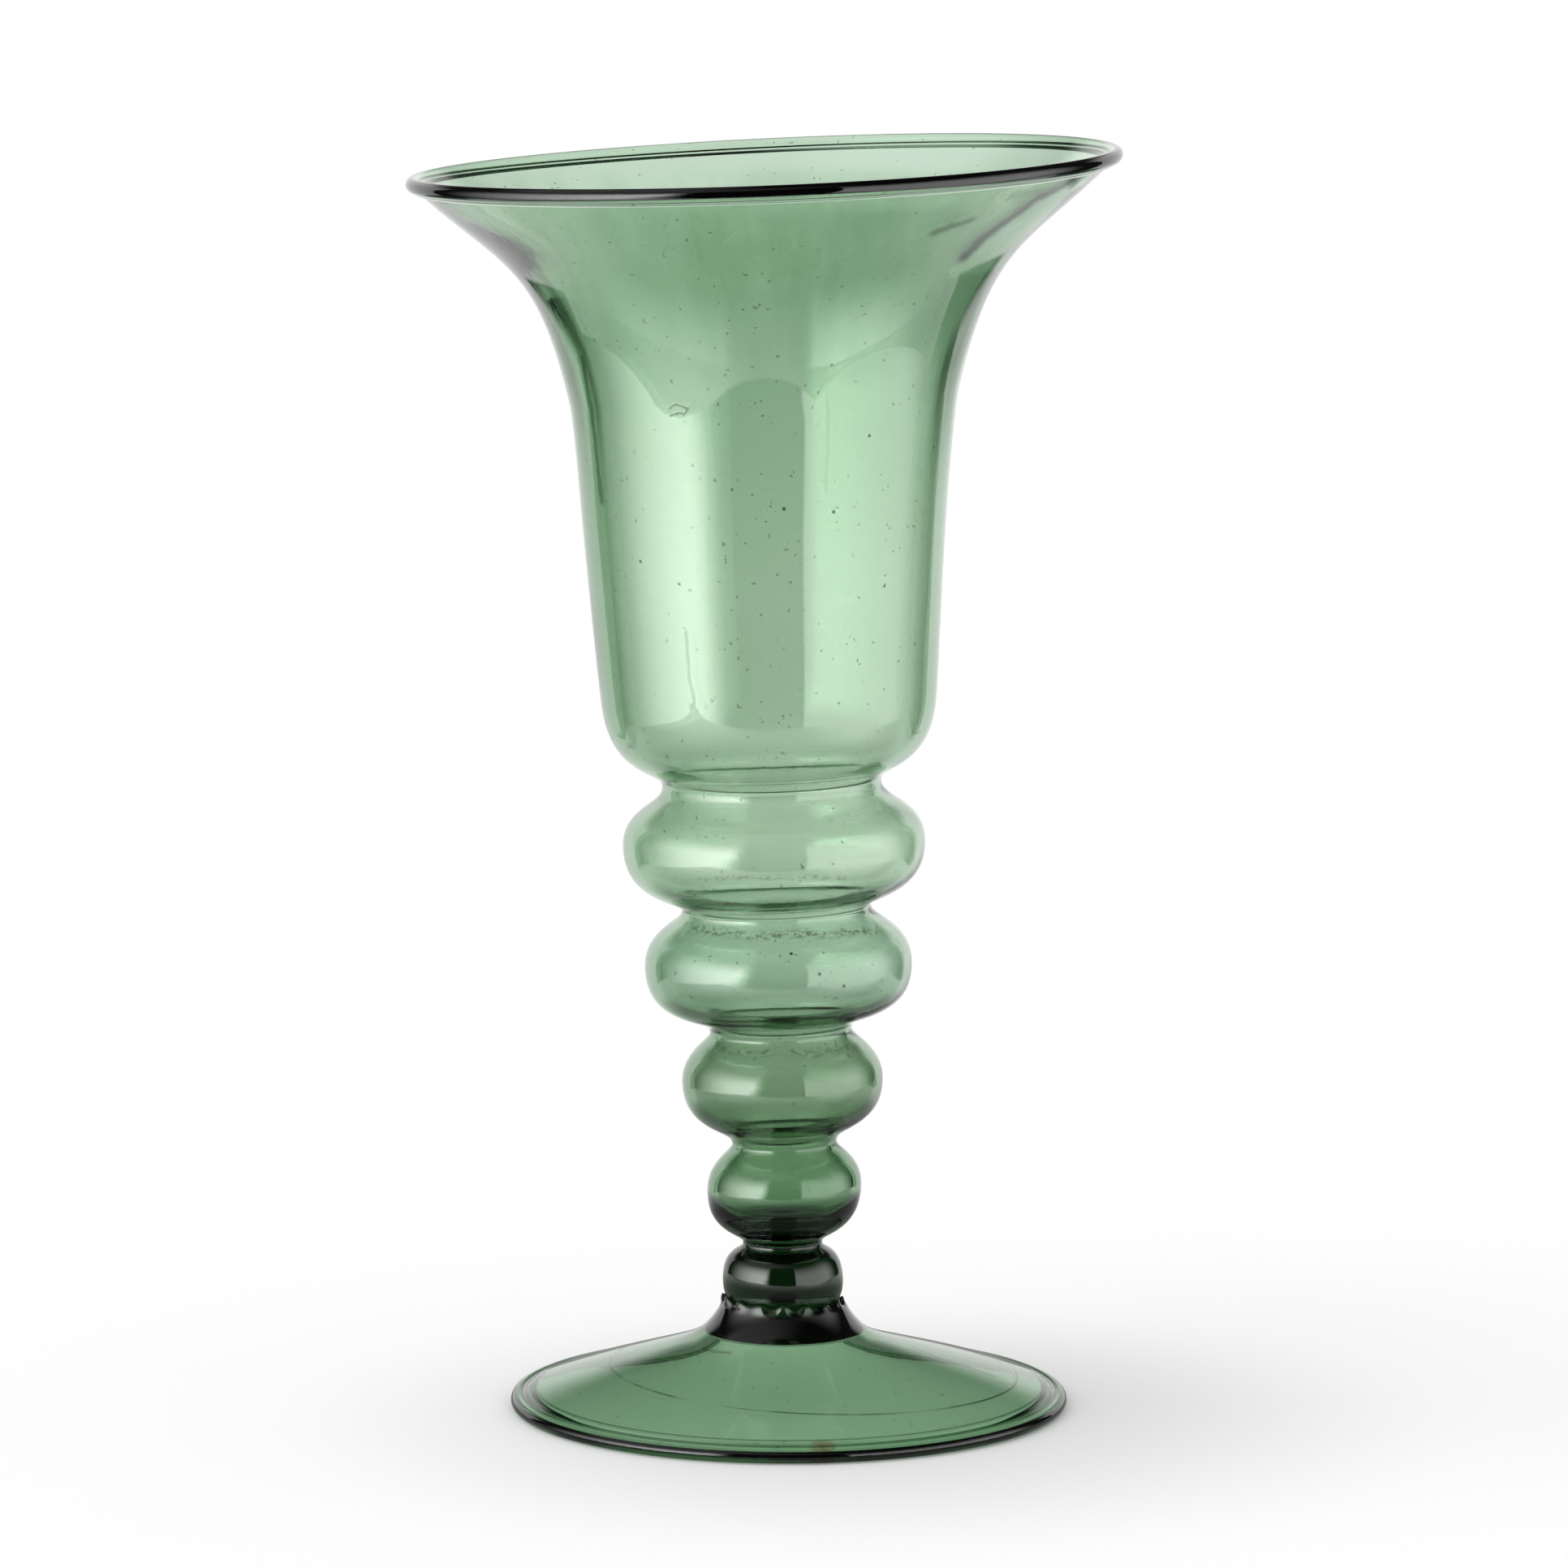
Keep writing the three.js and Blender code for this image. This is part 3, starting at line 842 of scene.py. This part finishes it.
# A ring that a tool left on the foot
TOOL_MARK = (11.6, 48.5)  # X of its middle, and its radius, in mm
TOOL_MARK_REACH = (0.0001, 0.0005)  # metres
TOOL_MARK_GAPS = (45.0, 2.0)
TOOL_MARK_CONTRAST = (0.30, 0.62)
TOOL_MARK_DEPTHS = (2.4, 2.0, 2.4)
# Painted shade: the hem's end and the groove show through as dark rings, drawn on: radius, reach,
# depths. A ring fades out between half its reach and one and a half times it.
HEM_SHADE_RINGS = [(60.3, 0.32, (1.5, 1.2, 1.45)), (62.5, 0.40, (2.4, 1.9, 2.3))]
# A streak, a smear and a brown stain, as points, half width, softness, depths
FOOT_MARKS = [
    (
        [
            (35.9, 0, 12.7), (40.1, -2.8, 11.4), (44.9, -4.3, 9.9), (49.8, -5.3, 8.5),
            (54, -6.2, 7.4),
        ],
        1.0, 1.0, (1.7, 1.5, 1.5),
    ),
    ([(-13.8, -14, 15.9), (-10.9, -17.4, 15.8), (-8, -19.1, 16)], 0.6, 0.6, (1.0, 1.2, 1.6)),
    ([(13.6, -65.7, 1.3), (13.6, -62.2, 3.5)], 2.8, 1.0, (0.10, 0.9, 1.0)),
]


def glass_material(name, absorption, details):
    """Clear refracting glass. details(n) gives the surface's tint and its height."""
    material = bpy.data.materials.new(name)
    material.use_nodes = True
    n = Nodes(material.node_tree)
    out = n.new("ShaderNodeOutputMaterial")
    body = n.new("ShaderNodeBsdfPrincipled")
    body.inputs["Roughness"].default_value = 0.0
    body.inputs["IOR"].default_value = GLASS_IOR
    body.inputs["Transmission Weight"].default_value = 1.0
    tint, height = details(n)
    n.put(body.inputs["Base Color"], tint)
    bump = n.new("ShaderNodeBump")
    bump.inputs["Strength"].default_value = 1.0
    bump.inputs["Distance"].default_value = BUMP_HEIGHT
    n.put(bump.inputs["Height"], height)
    n.put(body.inputs["Normal"], bump.outputs["Normal"])
    inside = n.new("ShaderNodeVolumeAbsorption")
    inside.inputs["Density"].default_value = DENSITY
    inside.inputs["Color"].default_value = (*(1 - a / DENSITY for a in absorption), 1)
    n.links.new(body.outputs["BSDF"], out.inputs["Surface"])
    n.links.new(inside.outputs["Volume"], out.inputs["Volume"])
    return material


def on_surface(n):
    """The place on the object, its X, Y and Z, and its height in mm."""
    place = n.new("ShaderNodeTexCoord").outputs["Object"]
    at = n.split(place)
    return place, at, n.times(at["Z"], 1000.0)


def depth_by_height(n, high):
    ramp = n.new("ShaderNodeValToRGB")
    n.put(ramp.inputs["Fac"], n.math("DIVIDE", high, DEPTHS_TOP))
    band = ramp.color_ramp.elements
    while len(band) < len(DEPTHS):
        band.new(1.0)
    for element, (z, depths) in zip(band, DEPTHS):
        element.position = z / DEPTHS_TOP
        element.color = passed(depths)
    return ramp.outputs["Color"]


def specked(n, place, tint, specks):
    noise, contrast, depths = specks
    return n.shade(n.step(n.noise(place, *noise), *contrast), tint, depths)


def vessel_details(n):
    place, at, high = on_surface(n)
    tint = depth_by_height(n, high)
    flare = n.window(high, *FLARE_HEIGHTS)
    rightward = n.step(at["X"], *FLARE_RIGHT)
    outward = n.vector("NORMALIZE", n.stretch(place, FAN_SQUASH)).outputs["Vector"]
    fan = n.step(n.noise(outward, *FAN_NOISE), *FAN_CONTRAST)
    # Painted shade on the flare's right, in fanned strokes
    tint = n.shade(n.times(flare, rightward), tint, FLARE_SHADE_DEPTHS)
    tint = n.shade(n.times(flare, fan), tint, FAN_SHADE_DEPTHS)

    # Painted shade where the glass is seen edge on, and at the low knops for their thick walls
    facing = n.new("ShaderNodeLayerWeight").outputs["Facing"]
    low = n.inverse(n.step(high, *LOW_KNOP_HEIGHTS))
    tint = n.shade(n.times(low, n.step(facing, *LOW_KNOP_FACING)), tint, LOW_KNOP_WALL_AND_SHADE_DEPTHS)
    rise_from, rise = WALL_EDGE_RISE
    edge_on = n.less(facing, n.times(n.most(n.less(high, rise_from), 0.0), rise))
    wall_edge_shade = n.times(n.window(edge_on, *WALL_EDGE_FACING), n.window(high, *WALL_EDGE_HEIGHTS))
    tint = n.shade(wall_edge_shade, tint, WALL_EDGE_SHADE_DEPTHS)
    far_out = n.vector("LENGTH", n.stretch(place, (1.0, 1.0, 0.0))).outputs["Value"]
    bead = n.times(n.step(far_out, *BEAD_INSIDE), n.step(facing, *BEAD_FACING))
    tint = n.shade(bead, tint, BEAD_SHADE_DEPTHS)

    waver = n.ragged(place, *WAVER)
    # Cords, darkened with painted shade
    for points, width, soft, depths in CORD_SHADES:
        tint = n.shade(n.stroke(waver, points, width, soft), tint, depths)
    rough = n.ragged(place, *FINE_WAVER)
    film = n.most(n.strokes(waver, KNOP_FILMS), n.strokes(rough, FINE_FILMS))
    broken = n.step(n.noise(n.stretch(place, FILM_SQUASH), *FILM_BREAKS), *FILM_CONTRAST)
    tint = n.shade(n.times(film, broken), tint, FILM_DEPTHS)
    line = n.strokes(rough, LINES)
    tint = n.shade(line, tint, LINE_DEPTHS)
    for seed in SEEDS:
        tint = n.shade(n.stroke(place, [seed], *SEED_SIZE), tint, SEED_DEPTHS)
    tint = specked(n, place, tint, VESSEL_SPECKS)

    swell = n.relief(place, *VESSEL_SWELL)
    striae = n.relief(n.stretch(place, STRIAE_SQUASH), *STRIAE)
    return tint, n.add(swell, striae, n.times(line, LINE_RELIEF))


def foot_details(n):
    place, at, high = on_surface(n)
    tint = n.shade(n.step(high, *COLLAR_HEIGHTS), FOOT_TINT, COLLAR_DEPTHS)
    from_middle = n.distance(at, LEAN * MM, 0.0)
    on_top = n.step(n.add(high, n.times(from_middle, DISC_SLOPE)), *DISC_TOP)
    across = n.distance(at, TOOL_MARK[0] * MM, 0.0)
    from_ring = n.math("ABSOLUTE", n.less(across, TOOL_MARK[1] * MM))
    gaps = n.step(n.noise(place, *TOOL_MARK_GAPS), *TOOL_MARK_CONTRAST)
    ring = n.times(n.inverse(n.step(from_ring, *TOOL_MARK_REACH)), on_top, gaps)
    tint = n.shade(ring, tint, TOOL_MARK_DEPTHS)
    # Painted shade rings where the hem and groove show through
    for radius, reach, depths in HEM_SHADE_RINGS:
        off_ring = n.math("ABSOLUTE", n.less(from_middle, radius * MM))
        near = n.inverse(n.step(off_ring, 0.5 * reach * MM, 1.5 * reach * MM))
        tint = n.shade(n.times(near, on_top), tint, depths)
    waver = n.ragged(place, *FOOT_WAVER)
    for points, width, soft, depths in FOOT_MARKS:
        tint = n.shade(n.stroke(waver, points, width, soft), tint, depths)
    tint = specked(n, place, tint, FOOT_SPECKS)

    swell = n.relief(place, *FOOT_SWELL)
    grain = n.relief(n.stretch(place, FOOT_GRAIN_SQUASH), *FOOT_GRAIN)
    return tint, n.less(n.add(swell, grain), n.times(ring, RING_RELIEF))


vessel.data.materials.append(glass_material("blown_glass", VESSEL_ABSORPTION, vessel_details))
foot.data.materials.append(glass_material("foot_glass", FOOT_ABSORPTION, foot_details))

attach(vessel, "root")
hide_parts("lip_fold", "bowl", "knop_1", "knop_2", "knop_3", "knop_4", "knop_5")
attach(foot, "root")
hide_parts("foot_collar", "foot", "foot_fold")

# The sheet that the vase stands on, in metres

SHEET_HALF = 4.0
SHEET_DROP = 0.0001
SHEET_COLOUR = (0.8, 0.8, 0.8, 1)
TABLE_FRONT = -0.39
TABLE_LEFT = -0.47
TABLE_RIGHT = 0.485  # of the right edge, which runs askew
TABLE_SKEW = 0.62
TABLE_SOFT = 0.004
CORNER_BACK = 0.24  # behind this the sheet is narrower
CORNER_SIDE = 0.31
CORNER_SOFT = 0.01
FOOT_SPOT = (0.0055, 0.0)
# Painted light: the green glow under the foot, its edge, strength and colour
FOOT_GLOW_EDGE = (0.0635, 0.066)
FOOT_GLOW = 0.42
FOOT_GLOW_COLOUR = (0.76, 1.0, 0.80, 1)
# Painted shadow round the vase: there the sheet's lift is left out
SHADOW_SPOT = (0.025, -0.02)
SHADOW_EDGE = (0.03, 0.15)
PAPER_LIFT = 0.17
GLOW = 1.04  # the backdrop seen through the glass, and the far end of the sheet
FAR_END = (0.8, 2.0)
# As the glass mirrors it, the sheet has painted shade round the foot and painted pools of light beside
# the softboxes.
MIRRORED_SHADE_FADE = (0.10, 0.28)
MIRRORED_LEAST = 0.3
MIRRORED_LIGHT_POOLS = [  # middle, where the spot fades, strength
    ((-0.42, -0.38), (0.05, 0.42), 2.4),
    ((0.40, -0.22), (0.08, 0.28), 1.5),
]

floor_mesh = bpy.data.meshes.new("floor")
corners = [(-SHEET_HALF, -SHEET_HALF, 0), (SHEET_HALF, -SHEET_HALF, 0)]
corners += [(SHEET_HALF, SHEET_HALF, 0), (-SHEET_HALF, SHEET_HALF, 0)]
floor_mesh.from_pydata(corners, [], [(0, 1, 2, 3)])
floor = bpy.data.objects.new("floor", floor_mesh)
bpy.context.scene.collection.objects.link(floor)
floor.location.z = -SHEET_DROP

paper = bpy.data.materials.new("white_paper")
paper.use_nodes = True
n = Nodes(paper.node_tree)
out = n.new("ShaderNodeOutputMaterial")
path = n.new("ShaderNodeLightPath")
spot = n.split(n.new("ShaderNodeNewGeometry").outputs["Position"])


def either(factor, first, second):
    """The first shader where the factor is 0, and the second where it is 1."""
    node = n.new("ShaderNodeMixShader")
    for socket, value in zip(node.inputs, (factor, first.outputs[0], second.outputs[0])):
        n.put(socket, value)
    return node


def beyond(value, edge, soft):
    """0 before the edge and 1 past it."""
    return n.step(value, edge - soft, edge + soft)


diffuse = n.new("ShaderNodeBsdfDiffuse")
diffuse.inputs["Color"].default_value = SHEET_COLOUR
# Painted light: under the foot the sheet glows green, for the light that comes through the glass.
under_foot = n.inverse(n.step(n.distance(spot, *FOOT_SPOT), *FOOT_GLOW_EDGE))
# Painted shadow: no lift near the vase
open_lift = n.times(n.step(n.distance(spot, *SHADOW_SPOT), *SHADOW_EDGE), PAPER_LIFT)
lift = n.new("ShaderNodeEmission")
n.put(lift.inputs["Strength"], n.most(open_lift, n.times(under_foot, FOOT_GLOW)))
n.put(lift.inputs["Color"], n.mix("RGBA", under_foot, (1, 1, 1, 1), FOOT_GLOW_COLOUR))
white = n.new("ShaderNodeAddShader")
n.links.new(diffuse.outputs[0], white.inputs[0])
n.links.new(lift.outputs[0], white.inputs[1])
far_white = n.new("ShaderNodeEmission")
far_white.inputs["Strength"].default_value = GLOW
direct = either(n.step(n.distance(spot, 0.0, 0.0), *FAR_END), white, far_white)

# Painted shade round the foot and painted pools of light, as the glass mirrors the sheet
mirrored_shade = n.add(
    n.times(n.step(n.distance(spot, *FOOT_SPOT), *MIRRORED_SHADE_FADE), 1 - MIRRORED_LEAST),
    MIRRORED_LEAST,
)
light_pools = [
    n.times(n.inverse(n.step(n.distance(spot, *middle), *fade)), strength)
    for middle, fade, strength in MIRRORED_LIGHT_POOLS
]
mirror_image = n.new("ShaderNodeEmission")
n.put(mirror_image.inputs["Strength"], n.add(mirrored_shade, n.add(*light_pools)))
sheet = either(n.is_deeper(path.outputs["Glossy Depth"]), direct, mirror_image)

corner = n.times(
    beyond(spot["Y"], CORNER_BACK, CORNER_SOFT),
    beyond(n.math("ABSOLUTE", spot["X"]), CORNER_SIDE, CORNER_SOFT),
)
askew = n.less(spot["X"], n.times(spot["Y"], TABLE_SKEW))
on_table = n.times(
    beyond(spot["Y"], TABLE_FRONT, TABLE_SOFT),
    n.times(
        beyond(spot["X"], TABLE_LEFT, TABLE_SOFT),
        n.inverse(beyond(askew, TABLE_RIGHT, TABLE_SOFT)),
    ),
    n.inverse(corner),
)
seen_straight = n.math("LESS_THAN", path.outputs["Glossy Depth"], 0.5)
open_air = n.new("ShaderNodeBsdfTransparent")
whole = either(n.most(on_table, seen_straight), open_air, sheet)
n.links.new(whole.outputs[0], out.inputs["Surface"])
floor_mesh.materials.append(paper)

# The room, as the glass mirrors it. In degrees: az is the bearing from the front, to the right,
# and el the height above the horizon. Fours are where a light starts, is full, fades and ends.

RAD = math.pi / 180
BOX_HEIGHTS = (-45.0, -35.0, 8.0, 50.0)
LEFT_BOX = (-125.0, -42.0)
LEFT_BOX_SIDE = (8.0, 0.6, -40.8)  # its right side: height that it leans up to, lean, bearing
LEFT_BOX_END = -24.0
LEFT_BOX_GLOW = 8.2
RIGHT_BOX = (24.0, 26.0, 90.0, 125.0)
RIGHT_BOX_GLOW = 2.8
# Straight behind the vase the white ends low, beside that it reaches higher.
BEHIND_MIDDLE = 3.0
BEHIND_SIDES = (133.5, 136.0)
BEHIND_BOTTOM = (-21.0, -17.0)
BEHIND_TOP = (10.0, 20.0)
BESIDE = (160.0, 172.0)
BESIDE_HIGHER = 8.0
CEILING_HEIGHTS = (38.0, 50.0, 70.0, 85.0)
CEILING_BEARINGS = (-178.0, -150.0, -60.0, 60.0)
CEILING_GLOW = 0.5
ROOM_GLOW = 0.04
BACKDROP_TOP = (14.0, 30.0)  # where the backdrop ends, as seen straight through the glass
SCATTERED_LOSS = 0.07

world = bpy.data.worlds.new("studio")
bpy.context.scene.world = world
world.use_nodes = True
n = Nodes(world.node_tree)
out = n.new("ShaderNodeOutputWorld")
path = n.new("ShaderNodeLightPath")
way = n.split(n.new("ShaderNodeTexCoord").outputs["Generated"])
az = n.math("DIVIDE", n.math("ARCTAN2", way["X"], n.times(way["Y"], -1.0)), RAD)
el = n.math("DIVIDE", n.math("ARCSINE", way["Z"]), RAD)

lean_top, lean, lean_start = LEFT_BOX_SIDE
left_side = n.add(n.times(n.math("MINIMUM", el, lean_top), lean), lean_start)
left = n.times(n.window(az, *LEFT_BOX, left_side, LEFT_BOX_END), n.window(el, *BOX_HEIGHTS))
right = n.times(n.window(az, *RIGHT_BOX), n.window(el, *BOX_HEIGHTS))
side_height = n.times(n.inverse(n.step(n.math("ABSOLUTE", az), *BESIDE)), BESIDE_HIGHER)
behind = n.times(
    n.step(n.math("ABSOLUTE", n.less(az, BEHIND_MIDDLE)), *BEHIND_SIDES),
    n.times(
        n.step(el, *BEHIND_BOTTOM),
        n.inverse(n.step(n.less(el, side_height), *BEHIND_TOP)),
    ),
)
ceiling = n.times(n.window(el, *CEILING_HEIGHTS), n.window(az, *CEILING_BEARINGS))
studio = n.add(
    n.add(n.times(left, LEFT_BOX_GLOW), n.times(right, RIGHT_BOX_GLOW)),
    n.add(n.most(behind, n.times(ceiling, CEILING_GLOW)), ROOM_GLOW),
)
backdrop = n.times(n.inverse(n.step(el, *BACKDROP_TOP)), GLOW - ROOM_GLOW)
straight = n.add(backdrop, ROOM_GLOW)
through = n.mix("FLOAT", n.is_deeper(path.outputs["Glossy Depth"]), straight, studio)
scattered = n.is_deeper(path.outputs["Diffuse Depth"])
plain = n.less(1.0, n.times(scattered, SCATTERED_LOSS))
seen = n.mix("FLOAT", n.most(path.outputs["Is Camera Ray"], scattered), through, plain)
sky = n.new("ShaderNodeBackground")
sky.inputs["Color"].default_value = (1, 1, 1, 1)
n.put(sky.inputs["Strength"], seen)
n.links.new(sky.outputs[0], out.inputs["Surface"])

# Lamp

LAMP_ENERGY = 0.55
LAMP_ANGLE = 50
LAMP_PLACE = (-1.0, -0.3, 1.4)

lamp_data = bpy.data.lights.new("soft_lamp", "SUN")
lamp_data.energy = LAMP_ENERGY
lamp_data.angle = LAMP_ANGLE * RAD
lamp = bpy.data.objects.new("soft_lamp", lamp_data)
bpy.context.scene.collection.objects.link(lamp)
lamp.location = LAMP_PLACE
lamp.rotation_euler = (-lamp.location).to_track_quat("-Z", "Y").to_euler()
lamp.visible_glossy = False
lamp.visible_transmission = False
lamp.visible_camera = False

# Camera, at the photograph's viewing angle

SENSOR = 36.0
LENS = 172.38
CAMERA_PLACE = (0.00461, -1.755, 0.3872)
CAMERA_PITCH = 7.730  # degrees down
CAMERA_REACH = 20.0

camera_data = bpy.data.cameras.new("camera")
camera_data.sensor_width = SENSOR
camera_data.lens = LENS
camera_data.clip_end = CAMERA_REACH
camera = bpy.data.objects.new("camera", camera_data)
bpy.context.scene.collection.objects.link(camera)
camera.location = CAMERA_PLACE
camera.rotation_euler = ((90 - CAMERA_PITCH) * RAD, 0, 0)
bpy.context.scene.camera = camera

bpy.context.scene.view_settings.view_transform = "Standard"

bpy.context.view_layer.update()
